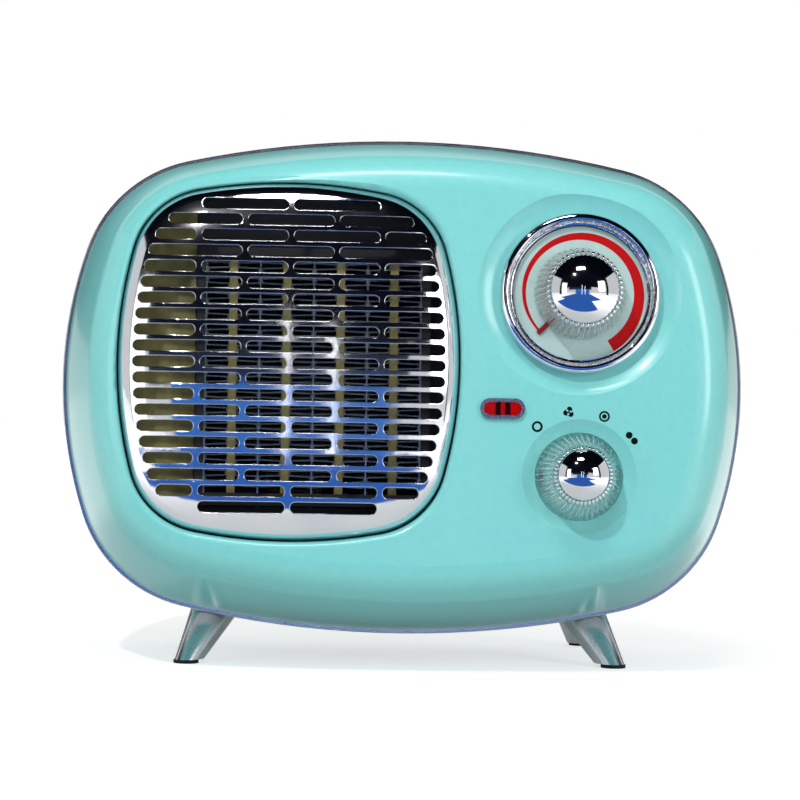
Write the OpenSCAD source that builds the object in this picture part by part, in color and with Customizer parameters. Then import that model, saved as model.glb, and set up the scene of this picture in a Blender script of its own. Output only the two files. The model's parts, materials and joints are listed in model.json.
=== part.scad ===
// Retro ceramic (PTC) fan heater: a rounded two-part case on four splayed legs,
// with a domed slotted grille on the left and two clear knobs on the right.
//
// The case is drawn upright in its own frame and leans back on its legs as one piece.
// Inside that frame every sub-part is drawn seen from the front: x to the right,
// y up, z towards the viewer, with z = 0 in the plane of the trim band.

/* [Case] */
// Width of the trim band, the widest part of the case
case_w = 290; // [284:1:310]
// Height of the trim band
case_h = 210.6; // [206:0.2:222]
// Radius of the left and right sides
side_r = 178; // [165:1:200]
// Radius of the top and bottom
top_r = 421; // [380:1:480]
// Radius of the four corners
corner_r = 58.2; // [56:0.2:64]
// Depth of the front shell, from the band to its face
front_depth = 58; // [56:1:64]
// Depth of the rear shell, from the band to its back
rear_depth = 88; // [84:1:100]
// Radius where the front shell turns into its face
front_edge_r = 16; // [14:0.5:17]
// Radius where the rear shell turns into its back
rear_edge_r = 14; // [11:0.5:15]
// Radius of the slow curve along the shells' sides
flank_r = 210; // [200:2:220]
// Wall of both shells
wall = 2.5; // [2:0.1:3]
// Angle by which the case leans back
lean = 5; // [3:0.5:7]
// Height of the case's middle above the table
case_rise = 118; // [116:0.5:124]

/* [Trim band] */
// How wide the band shows between the two shells
band_w = 7; // [5:0.5:9]
// How far the band stands proud of the shells
band_proud = 1.6; // [1:0.1:2]
// Reach of the band's rail into each shell
rail_reach = 4.5; // [4:0.5:5]
// Thickness of that rail
rail_t = 1.6; // [1.2:0.1:2]

/* [Grille] */
// Width of the outlet opening
outlet_w = 140.2; // [134:0.2:141]
// Height of the outlet opening
outlet_h = 147; // [142:0.5:148]
// Radius of the outlet's left and right sides
outlet_side_r = 176; // [160:1:200]
// Radius of the outlet's top and bottom
outlet_top_r = 205; // [190:1:230]
// Radius of the outlet's corners
outlet_corner_r = 33.2; // [32:0.2:38]
// Middle of the outlet, right of the case's middle
outlet_x = -50; // [-51:0.5:-48]
// Middle of the outlet, above the case's middle
outlet_y = 5.2; // [3:0.2:6]
// Rounding of the shell's lip round the outlet
lip_r = 3; // [2:0.5:3.5]
// Depth of that lip
lip_depth = 9; // [8:0.5:10]
// Gap round the grille panel
grille_gap = 0.5; // [0.3:0.1:0.8]
// Thickness of the grille panel
grille_t = 1.8; // [1.5:0.1:2.2]
// Radius of the rolled border of the grille
roll_r = 7; // [6:0.5:8]
// Radius of the crown inside that border
crown_r = 60; // [55:1:65]
// How far the grille's back edge lies below the face
grille_sink = 5; // [4:0.5:5.5]
// Number of rows of slots
slot_rows = 20; // [14:1:20]
// Distance between rows
slot_pitch = 6.5; // [6.3:0.1:6.6]
// Height of a slot
slot_h = 4.5; // [4:0.1:4.8]
// Distance between slots along a row
slot_step = 37.3; // [36:0.1:38]
// Bridge between two slots of a row
slot_bridge = 2.2; // [1.8:0.1:3]
// Border left plain round the slots
slot_border = 6.6; // [6:0.1:8]
// Middle row's height above the middle of the outlet
slot_rise = 1.75; // [1:0.05:2]

/* [Thermostat dial] */
// Dial centre, right of the case's middle
dial_x = 68.8; // [67:0.2:70]
// Dial centre, above the case's middle
dial_y = 35; // [33:0.5:36]
// Diameter of the dish round the dial
dish_d = 84; // [80:0.5:86]
// Depth of the dish
dish_depth = 3.2; // [2.5:0.1:3.6]
// Outer diameter of the bezel
bezel_d = 66; // [64:0.5:68]
// Width of the bezel's ring
bezel_w = 5.4; // [4.5:0.1:6]
// Height of the bezel above the dish's floor
bezel_h = 5.4; // [4.5:0.1:6]
// Thickness of the dial plate
plate_t = 1.2; // [1:0.1:1.5]
// Diameter of the knob's foot
knob_d = 37.8; // [36:0.2:40]
// Diameter of the knob's top
knob_top_d = 31; // [29.5:0.1:33]
// Height of the knob without its cap
knob_h = 17; // [15:0.5:19]
// Diameter of the knob's domed cap
cap_d = 27.6; // [26:0.1:28]
// Height of the dome
cap_h = 6; // [4.5:0.1:7]
// Number of flutes
knob_flutes = 44; // [36:1:48]
// Direction of the pointer at the coolest setting, from the right, anticlockwise
dial_start = 224; // [215:1:230]
// How far the pointer reaches from the dial's centre
pointer_reach = 24; // [22:0.5:26]
// Width of the pointer
pointer_w = 2; // [1.6:0.1:2.4]

/* [Mode knob] */
// Knob centre, right of the case's middle
mode_x = 69; // [67:0.2:70]
// Knob centre, above the case's middle
mode_y = -40.2; // [-42:0.2:-39]
// Diameter of the dish round the knob
mode_dish_d = 47; // [45:0.5:50]
// Depth of the dish at the well
mode_dish_depth = 2; // [1.5:0.1:2.4]
// Depth of the well below the dish
well_depth = 2.2; // [1.6:0.1:2.6]
// Gap between the knob and its well
well_gap = 0.4; // [0.3:0.1:0.6]
// Diameter of the knob's foot
mode_d = 35.6; // [34:0.2:38]
// Diameter of the knob's top
mode_top_d = 26; // [25:0.1:28]
// Height of the knob without its cap
mode_h = 18.5; // [17:0.5:20]
// Diameter of the knob's domed cap
mode_cap_d = 20.4; // [19:0.1:22]
// Height of that dome
mode_cap_h = 4.6; // [3.5:0.1:5.5]

/* [Pilot lamp] */
// Lamp centre, right of the case's middle
lamp_x = 37.2; // [36:0.2:38]
// Lamp centre, above the case's middle
lamp_y = -13; // [-14:0.2:-12]
// Width of the lamp's bezel
lamp_w = 18.4; // [17:0.2:20]
// Height of the lamp's bezel
lamp_h = 8.4; // [7.8:0.2:9.2]

/* [Legs] */
// Leg root from the middle of the case
leg_x = 79.6; // [74:0.2:84]
// Foot from the middle of the case
foot_x = 90.7; // [86:0.1:94]
// Half the spacing of the rear feet
rear_foot_x = 88; // [84:0.1:92]
// Front legs' root, behind the band's middle
leg_front = 15; // [14.5:0.5:18]
// Rear legs' root, behind the band's middle
leg_rear = 68; // [62:0.5:70]
// How far a front foot steps forward
step_front = 19; // [12:0.5:20]
// How far a rear foot steps back
step_rear = 22; // [14:0.5:24]
// Diameter of a leg at its root
leg_top_d = 19; // [16:0.1:20]
// Diameter of a leg at its foot
leg_foot_d = 10.3; // [9.5:0.1:12]
// Diameter of a rubber pad
pad_d = 10.6; // [9.5:0.1:12]
// Thickness of a rubber pad
pad_t = 1.5; // [1:0.1:3]

/* [Ceramic element] */
// Middle of the element and the fan, right of the case's middle
core_x = -39.8; // [-41:0.1:-39]
// Number of ceramic bars
core_bars = 4; // [3:1:4]
// Distance between ceramic bars
core_pitch = 22.2; // [21.6:0.1:22.4]
// Height of the element
core_h = 99.5; // [95:0.5:101]
// Depth of the element
core_depth = 15; // [12:0.5:15]
// Front of the element, ahead of the band
core_front = 40; // [39.5:0.1:41]
// Width of a ceramic bar
bar_t = 3.4; // [2.8:0.1:4]
// Thickness of a contact plate
contact_t = 0.6; // [0.5:0.1:0.8]
// Height of one fold of the fins
fin_pitch = 4.3; // [4.2:0.1:6]
// Thickness of the fin strip
fin_t = 0.5; // [0.4:0.1:0.6]

/* [Fan and motor] */
// Diameter of the fan
fan_d = 98; // [92:0.5:99]
// Clearance of the blades in their ring
fan_gap = 2.5; // [2:0.1:3]
// Number of blades
fan_blades = 7; // [5:1:9]
// Depth of the fan
fan_depth = 16; // [13:0.5:17]
// Pitch of the blades
blade_pitch = 34; // [28:1:40]
// Diameter of the motor's shaft
shaft_d = 5; // [4:0.1:6]
// Diameter of the rotor
rotor_d = 26; // [24:0.2:28]
// Thickness of the motor's plate stack
stack_t = 16; // [14:0.5:18]
// Width of the motor's plate stack
stack_w = 58; // [54:0.5:62]

/* [Fits] */
// Gap between pieces that stand face to face
seat = 0.1; // [0.05:0.01:0.15]
// Radial clearance of a turning shaft
running = 0.05; // [0.03:0.01:0.08]

/* [Hidden] */
$fn = 128;

// Directions in which two arcs of an edge meet; both are exact unit vectors.
flank_meet = [-0.936, 0.352];
crown_meet = [-0.28, 0.96];
// Depth by which solids overlap before they are joined
bite = 1;
// Amount by which tangent surfaces are made to cross cleanly
crossing = 0.002;
// Longer than anything it cuts through
far = 400;

// ---------- outlines: eight tangent arcs ----------
// An outline is [width, height, side radius, top radius, corner radius].
case_o = [case_w, case_h, side_r, top_r, corner_r];
outlet_o = [outlet_w, outlet_h, outlet_side_r, outlet_top_r, outlet_corner_r];
outlet_at = [outlet_x, outlet_y];

function top_centre(o) = [0, o[1]/2 - o[3]];
function side_centre(o) = [o[0]/2 - o[2], 0];
function toward(a, b) = (b - a)/norm(b - a);
function corner_centre(o) =
  let (a = top_centre(o), b = side_centre(o), along = toward(a, b), gap = norm(b - a),
       ra = o[3] - o[4], rb = o[2] - o[4], t = (ra*ra - rb*rb + gap*gap)/(2*gap))
  a + along*t + [along[1], -along[0]]*sqrt(ra*ra - t*t);
// Where the corner's arc meets the top's or the side's, moved in by inset
function top_joint(o, inset) = top_centre(o)
  + toward(top_centre(o), corner_centre(o))*(o[3] - inset);
function side_joint(o, inset) = side_centre(o)
  + toward(side_centre(o), corner_centre(o))*(o[2] - inset);
function flip_x(p) = [-p[0], p[1]];
function flip_y(p) = [p[0], -p[1]];
// Height of the top arc above x, and half the width at height y
function top_at(o, inset, x) = top_centre(o)[1] + sqrt(pow(o[3] - inset, 2) - x*x);
function half_width(o, inset, y) =
  let (c = corner_centre(o), h = abs(y))
  h < side_joint(o, inset)[1] ? side_centre(o)[0] + sqrt(pow(o[2] - inset, 2) - h*h)
  : h < top_joint(o, inset)[1] ? c[0] + sqrt(pow(o[4] - inset, 2) - pow(h - c[1], 2))
  : sqrt(pow(o[3] - inset, 2) - pow(h - top_centre(o)[1], 2));

module flat(o, inset = 0) {
  c = corner_centre(o);
  t = top_joint(o, -30);
  s = side_joint(o, -30);
  intersection() {
    translate(top_centre(o)) circle(o[3] - inset, $fn = 360);
    translate(-top_centre(o)) circle(o[3] - inset, $fn = 360);
    translate(side_centre(o)) circle(o[2] - inset, $fn = 360);
    translate(-side_centre(o)) circle(o[2] - inset, $fn = 360);
    union() {
      polygon([flip_y(s), s, c, t, flip_x(t), flip_x(c), flip_x(s), -s, -c, -t,
        flip_y(t), flip_y(c)]);
      for (p = [c, flip_x(c), -c, flip_y(c)]) translate(p) circle(o[4] - inset);
    }
  }
}

// Moves in two steps, whole millimetres and the rest, so that long numbers stay exact.
module exactly(p) translate([round(p[0]), round(p[1]), 0])
  translate([p[0] - round(p[0]), p[1] - round(p[1]), 0]) children();

// One arc of a sweep: a full revolve, cut by the planes that it shares with its neighbours
module sector(c, r, corners) intersection() {
  exactly(c) rotate_extrude($fn = 256) exactly([r, 0]) mirror([1, 0]) children();
  translate([0, 0, -far/2]) linear_extrude(far) polygon(corners);
}

// Sweeps a section round an outline: x of the section is the distance in from the outline,
// y is the height above it. reach is how far in the section goes.
module swept(o, reach) {
  c = corner_centre(o);
  t0 = top_joint(o, reach);
  t1 = top_joint(o, -30);
  s0 = side_joint(o, reach);
  s1 = side_joint(o, -30);
  k = [s1[0], t1[1]];
  sector(top_centre(o), o[3], [flip_x(t0), t0, t1, flip_x(t1)]) children();
  sector(-top_centre(o), o[3], [flip_y(t0), -t0, -t1, flip_y(t1)]) children();
  sector(side_centre(o), o[2], [flip_y(s0), flip_y(s1), s1, s0]) children();
  sector(-side_centre(o), o[2], [flip_x(s0), flip_x(s1), -s1, -s0]) children();
  sector(c, o[4], [t0, s0, s1, k, t1]) children();
  sector(flip_x(c), o[4], [flip_x(s0), flip_x(t0), flip_x(t1), flip_x(k), flip_x(s1)]) children();
  sector(-c, o[4], [-t0, -s0, -s1, -k, -t1]) children();
  sector(flip_y(c), o[4], [flip_y(s0), flip_y(t0), flip_y(t1), flip_y(k), flip_y(s1)]) children();
}

// The part of a disc between its points p and q, and a little way in from them
module bow(c, p, q) {
  r = norm(p - c);
  k = (r - 5)/r;
  intersection() {
    translate(c) circle(r, $fn = 256);
    polygon([c + 1.3*(q - c), c + 1.3*(p - c), c + k*(p - c), c + k*(q - c)]);
  }
}

// Section of a pillow's edge. It rises from height base, u0 in from the outline, bends on
// radius ra and then rb, and ends level at height top. Below where its first arc stands
// upright it goes straight down. slim offsets it inwards all along, and start cuts it off.
function upright(top, ra, rb, meet) = top - rb - (ra - rb)*meet[1];
function bend_centre(u0, base, top, ra, rb, meet) =
  let (y = upright(top, ra, rb, meet), drop = max(base - y, 0))
  [round(100*(u0 + sqrt(ra*ra - drop*drop)))/100, y];
// How far in from the outline the edge becomes level
function level_at(u0, base, top, ra, rb, meet) =
  bend_centre(u0, base, top, ra, rb, meet)[0] + (ra - rb)*meet[0];
module edge(u0, base, top, ra, rb, meet, slim, start, reach) {
  a = bend_centre(u0, base, top, ra, rb, meet);
  b = a + (ra - rb)*meet;
  m = a + (ra - slim)*meet;
  foot = [a[0] - ra + slim, a[1]];
  last = [b[0], top - slim];
  polygon([[m[0], start], [reach, start], [reach, top - slim], last, m]);
  bow(b, m, last);
  if (a[1] > start) {
    polygon([[foot[0], start], [reach, start], [reach, m[1]], m, foot]);
    bow(a, foot, m);
  }
  if (a[1] < start) intersection() {
    translate(a) circle(ra - slim, $fn = 256);
    polygon([[-ra, start], [m[0] + 9, start], m - 9*meet, m + 30*meet]);
  }
}

module pillow(o, u0, base, top, ra, rb, meet, slim, start) {
  reach = level_at(u0, base, top, ra, rb, meet) + 3;
  swept(o, reach) edge(u0, base, top, ra, rb, meet, slim, start, reach);
  translate([0, 0, start]) linear_extrude(top - slim - start) flat(o, reach - bite);
}

// ---------- frames ----------
// The case leans back on its legs; reach is taken at the foremost and rearmost points.
function ahead(x, h, r) = x*cos(lean) - h*sin(lean) + r;
function posed(p) = [p[0], mid_y - p[2]*cos(lean) + p[1]*sin(lean),
  case_rise + p[2]*sin(lean) + p[1]*cos(lean)];
module in_case(z = 0) translate([0, mid_y, case_rise]) rotate([90 - lean, 0, 0])
  translate([0, 0, z]) children();
// The same, seen from behind: z runs towards the back, x and y stay as they are
module in_back(z = 0) in_case() mirror([0, 0, 1]) translate([0, 0, z]) children();
module at_outlet(z = 0) in_case(z) translate(outlet_at) children();
module at_dial(z = 0) in_case(z) translate([dial_x, dial_y]) children();
module at_mode(z = 0) in_case(z) translate([mode_x, mode_y]) children();
module at_lamp(z = 0) in_case(z) translate([lamp_x, lamp_y]) children();
module at_core(z = 0) in_case(z) translate([core_x, 0]) children();

module obround(w, h) {
  square([w - h, h], center = true);
  for (s = [-1, 1]) translate([s*(w - h)/2, 0]) circle(d = h);
}
module ring(ro, ri, h) difference() {
  cylinder(r = ro, h = h);
  translate([0, 0, -bite]) cylinder(r = ri, h = h + 2*bite);
}
// A cone or cylinder from point p to point q, with its seam turned aside from its lean
module between(p, q, r1, r2) {
  d = q - p;
  translate(p) rotate([0, acos(d[2]/norm(d)), atan2(d[1], d[0])]) rotate(90)
    cylinder(r1 = r1, r2 = r2, h = norm(d));
}
// A dome of a given foot diameter and height, standing on z = 0
function dome_r(d, h) = (d*d/4 + h*h)/(2*h);
module dome(d, h) intersection() {
  translate([0, 0, h - dome_r(d, h)]) sphere(dome_r(d, h));
  cylinder(d = d, h = h + bite);
}

// ---------- case ----------
half_band = band_w/2;
// Screw posts: at the sides, and at the top and bottom
post_in = 13;
post_r = 4;
post_side_y = 34;
post_top_x = 30;
rib_t = 2.4;
side_posts = [for (s = [-1, 1], t = [-1, 1])
  [s*(half_width(case_o, 0, post_side_y) - post_in), t*post_side_y]];
end_posts = [for (t = [-1, 1]) [post_top_x, t*(top_at(case_o, 0, post_top_x) - post_in)]];
posts = concat(side_posts, end_posts);
screw_r = 1.75;
// Curve between a dish's floor and its rim
cove_r = 22;
// Floors of the dish and the well
dish_floor = front_depth - dish_depth;
well_floor = front_depth - mode_dish_depth - well_depth;
bush_r = 4;
control_screw_x = 12;
control_screw_r = 1.5;
lip_back = front_depth - lip_depth;
duct_ears = [for (p = [[0, 1], [38, 1], [-38, -1], [38, -1]]) [p[0], p[1]*(outlet_h/2 + 3.5)]];

module front_pillow(slim = 0, start = half_band) pillow(case_o, band_proud, half_band,
  front_depth, flank_r, front_edge_r, flank_meet, slim, start);
module rear_pillow(slim = 0, start = half_band) pillow(case_o, band_proud, half_band,
  rear_depth, flank_r, rear_edge_r, flank_meet, slim, start);
// Inset of a shell's side at height z, and its slope there
function shell_bend(top, rb) = bend_centre(band_proud, half_band, top, flank_r, rb, flank_meet);
function skin(top, rb, z, slim = 0) =
  let (a = shell_bend(top, rb), h = max(z - a[1], 0))
  a[0] - sqrt(pow(flank_r - slim, 2) - h*h);
function skin_slope(top, rb, z) = asin(max(z - shell_bend(top, rb)[1], 0)/flank_r);

// A rib from a post at p out into the wall behind it
module post_rib(p, start, end) {
  out = abs(p[0]) > abs(p[1]) ? [sign(p[0]), 0] : [0, sign(p[1])];
  run = post_in - band_proud - 0.8*wall;
  translate([0, 0, start]) linear_extrude(end - start)
    translate(p + out*run/2)
    square([abs(out[0])*run + rib_t, abs(out[1])*run + rib_t], center = true);
}
// Hollow of a dish: a coved rim of diameter d that falls to a floor of radius r
module dish_hollow(d, r, depth) rotate_extrude($fn = 180) {
  p = [r, -depth];
  q = [d/2, 0];
  half = norm(q - p)/2;
  c = (p + q)/2 + [-toward(p, q)[1], toward(p, q)[0]]*sqrt(cove_r*cove_r - half*half);
  translate([0, -depth]) square([r - 1, depth + bite]);
  intersection() {
    translate([r - 2, -depth]) square([cove_r, depth + bite]);
    translate(c) circle(cove_r);
  }
}
module screw_recess(x) for (s = [-1, 1]) translate([s*x, 0, 0]) {
  translate([0, 0, -10]) cylinder(r = control_screw_r + seat, h = 10 + bite);
  translate([0, 0, -1.6]) cylinder(r1 = control_screw_r + seat, r2 = 3, h = 1.6 + seat);
}

module front_shell() color("paleturquoise") difference() {
  union() {
    in_case() difference() {
      front_pillow();
      front_pillow(wall, half_band - bite);
    }
    at_outlet(lip_back) swept(outlet_o, 2*bite) translate([-wall, 0])
      square([wall + bite, lip_depth - wall/2]);
    at_mode(well_floor - wall) cylinder(d = mode_d + 2*well_gap + 2*wall, h = wall + well_depth);
    in_case() intersection() {
      front_pillow(wall/2);
      union() {
        translate([dial_x, dial_y, dish_floor - wall]) cylinder(d = dish_d + wall, h = dish_depth + wall);
        translate([mode_x, mode_y, front_depth - mode_dish_depth - wall])
          cylinder(d = mode_dish_d + wall, h = mode_dish_depth + wall);
        for (p = posts) {
          translate([p[0], p[1], half_band + rail_reach]) cylinder(r = post_r, h = front_depth);
          post_rib(p, half_band + rail_reach, front_depth);
        }
        translate([outlet_x, outlet_y, lip_back]) for (p = duct_ears) translate(p)
          cylinder(r = post_r, h = lip_depth);
      }
    }
  }
  at_outlet() translate([0, 0, lip_back - bite]) linear_extrude(far) flat(outlet_o);
  at_outlet() swept(outlet_o, bite) difference() {
    translate([-lip_r, front_depth - lip_r]) square([lip_r + bite/2, lip_r + bite]);
    translate([-lip_r, front_depth - lip_r]) circle(lip_r + crossing);
  }
  at_outlet(lip_back - bite) for (p = duct_ears) translate(p) cylinder(r = screw_r - 0.4, h = 5);
  in_case() for (p = posts) translate(p) cylinder(r = screw_r - 0.3, h = 32);
  at_dial(front_depth) dish_hollow(dish_d, bezel_d/2 + 0.5, dish_depth);
  at_dial() cylinder(r = bush_r + seat, h = far);
  at_dial(dish_floor) screw_recess(control_screw_x);
  at_mode(front_depth) dish_hollow(mode_dish_d, mode_d/2 + well_gap, mode_dish_depth);
  at_mode(well_floor) cylinder(r = mode_d/2 + well_gap, h = far);
  at_mode() cylinder(r = bush_r + seat, h = far);
  at_mode(well_floor) screw_recess(control_screw_x);
  at_lamp() linear_extrude(far) obround(lamp_w - 2*lamp_flange + 2*seat, lamp_h - 2*lamp_flange + 2*seat);
}

// Intake: rows of slots inside a circle as wide as the fan's ring
intake_r = fan_d/2 + fan_gap + 3;
intake_pitch = 7;
intake_slot = 3.6;
intake_rib = 4;
tower_r = 5.6;
recess_r = 3.9;
screw_seat = 14;
gland_at = [95, -55];
gland_r = 6;
module intake_slots() for (i = [-7:7]) {
  y = i*intake_pitch;
  x = sqrt(intake_r*intake_r - y*y);
  inner = 18;
  translate([core_x, y]) {
    obround(2*min(inner, x) - intake_rib, intake_slot);
    if (x > inner + 3*intake_slot) for (s = [-1, 1])
      translate([s*(x + inner)/2, 0]) obround(x - inner, intake_slot);
  }
}
// A black net against the inside of the intake keeps dust out.
filter_t = 1.2;
module intake_filter() color("black") in_back(rear_depth - wall - seat - filter_t)
  translate([core_x, 0, 0]) cylinder(r = intake_r + 4, h = filter_t);

module rear_shell() color("paleturquoise") difference() {
  union() {
    in_back() difference() {
      rear_pillow();
      rear_pillow(wall, half_band - bite);
    }
    in_back() intersection() {
      rear_pillow(wall/2);
      for (p = posts) {
        translate([p[0], p[1], half_band + rail_reach]) cylinder(r = tower_r, h = rear_depth);
        post_rib(p, half_band + rail_reach, rear_depth);
      }
    }
  }
  in_back() for (p = posts) translate(p) {
    cylinder(r = screw_r + 0.2, h = far);
    translate([0, 0, screw_seat]) cylinder(r = recess_r, h = far);
  }
  in_back(rear_depth - wall - bite) linear_extrude(wall + 2*bite) intake_slots();
  in_back() translate(gland_at) cylinder(r = gland_r + seat, h = far);
  for (s = [-1, 1], front = [-1, 1]) leg_hole(s, front);
}

// The band's face is clamped between the shells; its rail lies inside both.
module trim_band() color("silver") in_case() {
  rail_end = half_band + rail_reach - bite;
  rail_u = seat + max(skin(front_depth, front_edge_r, rail_end, wall),
    skin(rear_depth, rear_edge_r, rail_end, wall));
  swept(case_o, rail_u + rail_t + bite) {
    difference() {
      translate([0, -half_band + seat]) square([rail_u + bite/2, band_w - 2*seat]);
      for (s = [-1, 1]) translate([0, s*(half_band - seat)]) rotate(45)
        square(0.6, center = true);
    }
    translate([rail_u, -rail_end]) square([rail_t, 2*rail_end]);
  }
}

// ---------- grille, duct ----------
rim_h = 1;
grille_back = front_depth - grille_sink;
grille_top = grille_back + rim_h + crown_r + (roll_r - crown_r)*crown_meet[1];
module grille_pillow(slim = 0, start = grille_back) pillow(outlet_o, grille_gap, grille_back,
  grille_top, roll_r, crown_r, crown_meet, slim, start);
// Row j counts from the top. A row has either three breaks or, half a step aside, two;
// the last row repeats the one above it.
module slot_row(j) {
  y = slot_rise + ((slot_rows - 1)/2 - j)*slot_pitch;
  x = half_width(outlet_o, slot_border, y);
  breaks = (j % 2 == 0 || j == slot_rows - 1) ? [-1, 0, 1] : [-0.5, 0.5];
  starts = concat([-x], [for (b = breaks) b*slot_step + slot_bridge/2]);
  ends = concat([for (b = breaks) b*slot_step - slot_bridge/2], [x]);
  for (k = [0:len(breaks)]) if (ends[k] - starts[k] > 2*slot_h)
    translate([(starts[k] + ends[k])/2, y]) obround(ends[k] - starts[k], slot_h);
}
module outlet_grille() color("silver") at_outlet() difference() {
  grille_pillow();
  grille_pillow(grille_t, grille_back - bite);
  linear_extrude(far) for (j = [0:slot_rows - 1]) slot_row(j);
}

duct_gap = 0.4;
flange_w = 3.5;
duct_wall = 2;
duct_back = 30;
floor_t = 2.4;
window_gap = 0.3;
core_w = core_bars*core_pitch + contact_t;
frame_t = 3.5;
frame_w = core_w + 2*seat + 2*frame_t;
frame_h = core_h + 2*seat + 2*frame_t;
mount_w = 116;
mount_h = 120;
mount_at = [54, 56];
module mount_points() for (s = [-1, 1], t = [-1, 1])
  translate([s*mount_at[0], t*mount_at[1], 0]) children();

module air_duct() color("dimgray") difference() {
  union() {
    at_outlet(duct_back) linear_extrude(grille_back - seat - duct_back) flat(outlet_o, duct_gap);
    at_outlet(lip_back - seat - floor_t) {
      linear_extrude(floor_t) flat(outlet_o, -flange_w);
      for (p = duct_ears) translate(p) cylinder(r = flange_w, h = floor_t);
    }
    at_core(duct_back) translate([0, 0, floor_t/2]) cube([mount_w, mount_h, floor_t], center = true);
  }
  at_outlet(duct_back + floor_t) linear_extrude(far) flat(outlet_o, duct_gap + duct_wall);
  at_core(duct_back - bite) translate([-frame_w/2 - window_gap, -frame_h/2 - window_gap])
    cube([frame_w + 2*window_gap, frame_h + 2*window_gap, far]);
  at_outlet() for (p = duct_ears) translate(p) cylinder(r = screw_r, h = far);
  at_core() mount_points() cylinder(r = screw_r - 0.4, h = duct_back + floor_t - 0.6);
}

// A loose sheet over the duct's floor, left of the element
mica_t = 0.8;
module mica_panel() color("darkkhaki") in_case(duct_back + floor_t + seat) linear_extrude(mica_t)
  intersection() {
    translate(outlet_at) flat(outlet_o, duct_gap + duct_wall + 0.6);
    right = core_x - frame_w/2 - 2*window_gap;
    translate([right - 60, -far/2]) square([60, far]);
  }

// ---------- ceramic element ----------
core_back = core_front - core_depth;
cap_lip = 1.5;
tab_w = 4;
tab_l = 12;
fin_w = (core_pitch - bar_t - contact_t)/2;
module core_columns(n) for (i = [0:n - 1]) translate([i*core_pitch - core_w/2, 0, 0]) children();

module ptc_frame() color("gainsboro") at_core() difference() {
  union() {
    translate([-frame_w/2, -frame_h/2, core_back - cap_lip])
      cube([frame_w, frame_h, core_depth + 2*cap_lip]);
    translate([-frame_w/2 - 2, -frame_h/2 - 3, duct_back - seat - cap_lip])
      cube([frame_w + 4, frame_h + 6, cap_lip]);
  }
  translate([-core_w/2 - seat, -core_h/2 - seat, core_back - seat])
    cube([core_w + 2*seat, core_h + 2*seat, core_depth + 2*seat]);
  translate([-core_w/2 - seat, -core_h/2 + cap_lip, 0]) cube([core_w + 2*seat, core_h - 2*cap_lip, far]);
  core_columns(core_bars + 1) translate([-seat - 0.2, -far/2, core_back + 1 - seat])
    cube([contact_t + 2*seat + 0.4, far/2, tab_w + 2*seat]);
}
module ptc_bars() color("goldenrod") at_core(core_back) core_columns(core_bars)
  translate([contact_t + fin_w, -core_h/2, 0.5]) cube([bar_t, core_h, core_depth - 1]);
// A strip folded to and fro across the gap between a bar and a contact plate. Each fold
// stands along one side for fin_rest and then crosses over.
fin_rest = 0.42*fin_pitch;
module fin_strip() {
  folds = floor((core_h - 3)/fin_pitch);
  w = fin_w - 2*seat - fin_t;
  rise = fin_pitch/2 - fin_rest;
  h = fin_t/2;
  function fold(i, x, k) = let (y = (i - folds/2)*fin_pitch)
    [[x, y + fin_rest - k], [x + w, y + fin_rest + rise - k],
      [x + w, y + fin_pitch - rise + k], [x, y + fin_pitch + k]];
  near = [for (i = [0:folds - 1], p = fold(i, fin_t, h)) p];
  away = [for (i = [folds - 1:-1:0], k = [3:-1:0]) fold(i, 0, -h)[k]];
  linear_extrude(core_depth) polygon(concat(near, away));
}
module ptc_fins() color("silver") at_core(core_back) core_columns(core_bars) {
  translate([contact_t + seat, 0, 0]) fin_strip();
  translate([core_pitch - seat, 0, 0]) mirror([1, 0, 0]) fin_strip();
}
module ptc_contacts() color("lightgray") at_core(core_back) core_columns(core_bars + 1) {
  translate([0, -core_h/2, 0]) cube([contact_t, core_h, core_depth]);
  translate([0, -core_h/2 - tab_l, 1]) cube([contact_t, tab_l + bite, tab_w]);
}
// Bimetal cut-out and fuse, clamped behind the duct's floor, left of the fan
guard_x = core_x - mount_w/2 - 9;
module thermal_cutout() color("saddlebrown") in_case(duct_back - seat) translate([guard_x, 0, 0])
  mirror([0, 0, 1]) {
    cylinder(r = 7.5, h = 6);
    cylinder(r = 6, h = 10);
    for (s = [-1, 1]) translate([-2, s*4 - 0.4, 8]) cube([4, 0.8, 10]);
    translate([-3, -12, 0]) cube([6, 24, 1]);
  }
module thermal_fuse() color("silver") in_case(duct_back - seat) translate([guard_x, -32, -3])
  rotate([90, 0, 0]) {
    translate([0, 0, -6]) cylinder(r = 2.4, h = 12);
    translate([0, 0, -14]) cylinder(r = 0.6, h = 28);
    translate([-4, 1.5, -2]) cube([8, 1.5, 4]);
  }

// ---------- fan and motor ----------
fan_back = 1;
ring_r = fan_d/2 + fan_gap;
ring_t = 2.5;
plate_back = 21;
spider_back = -6;
spider_t = 3;
hub_r = 13;
hub_ring = [17, 27];
tie_x = 21.5;
bolt_r = 1.5;
boss_r = 7.5;
bearing_r = 4;
strip_t = 2.5;
stack_front = -12;
stack_back = stack_front - stack_t;
air_gap = 0.5;
rotor_over = 1;
bearing_l = 6;
front_strip = spider_back - seat - strip_t;
rear_strip = stack_back - strip_t - strip_t;
shaft_front = fan_back + fan_depth + 0.5;
shaft_back = rear_strip - 5;

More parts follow.
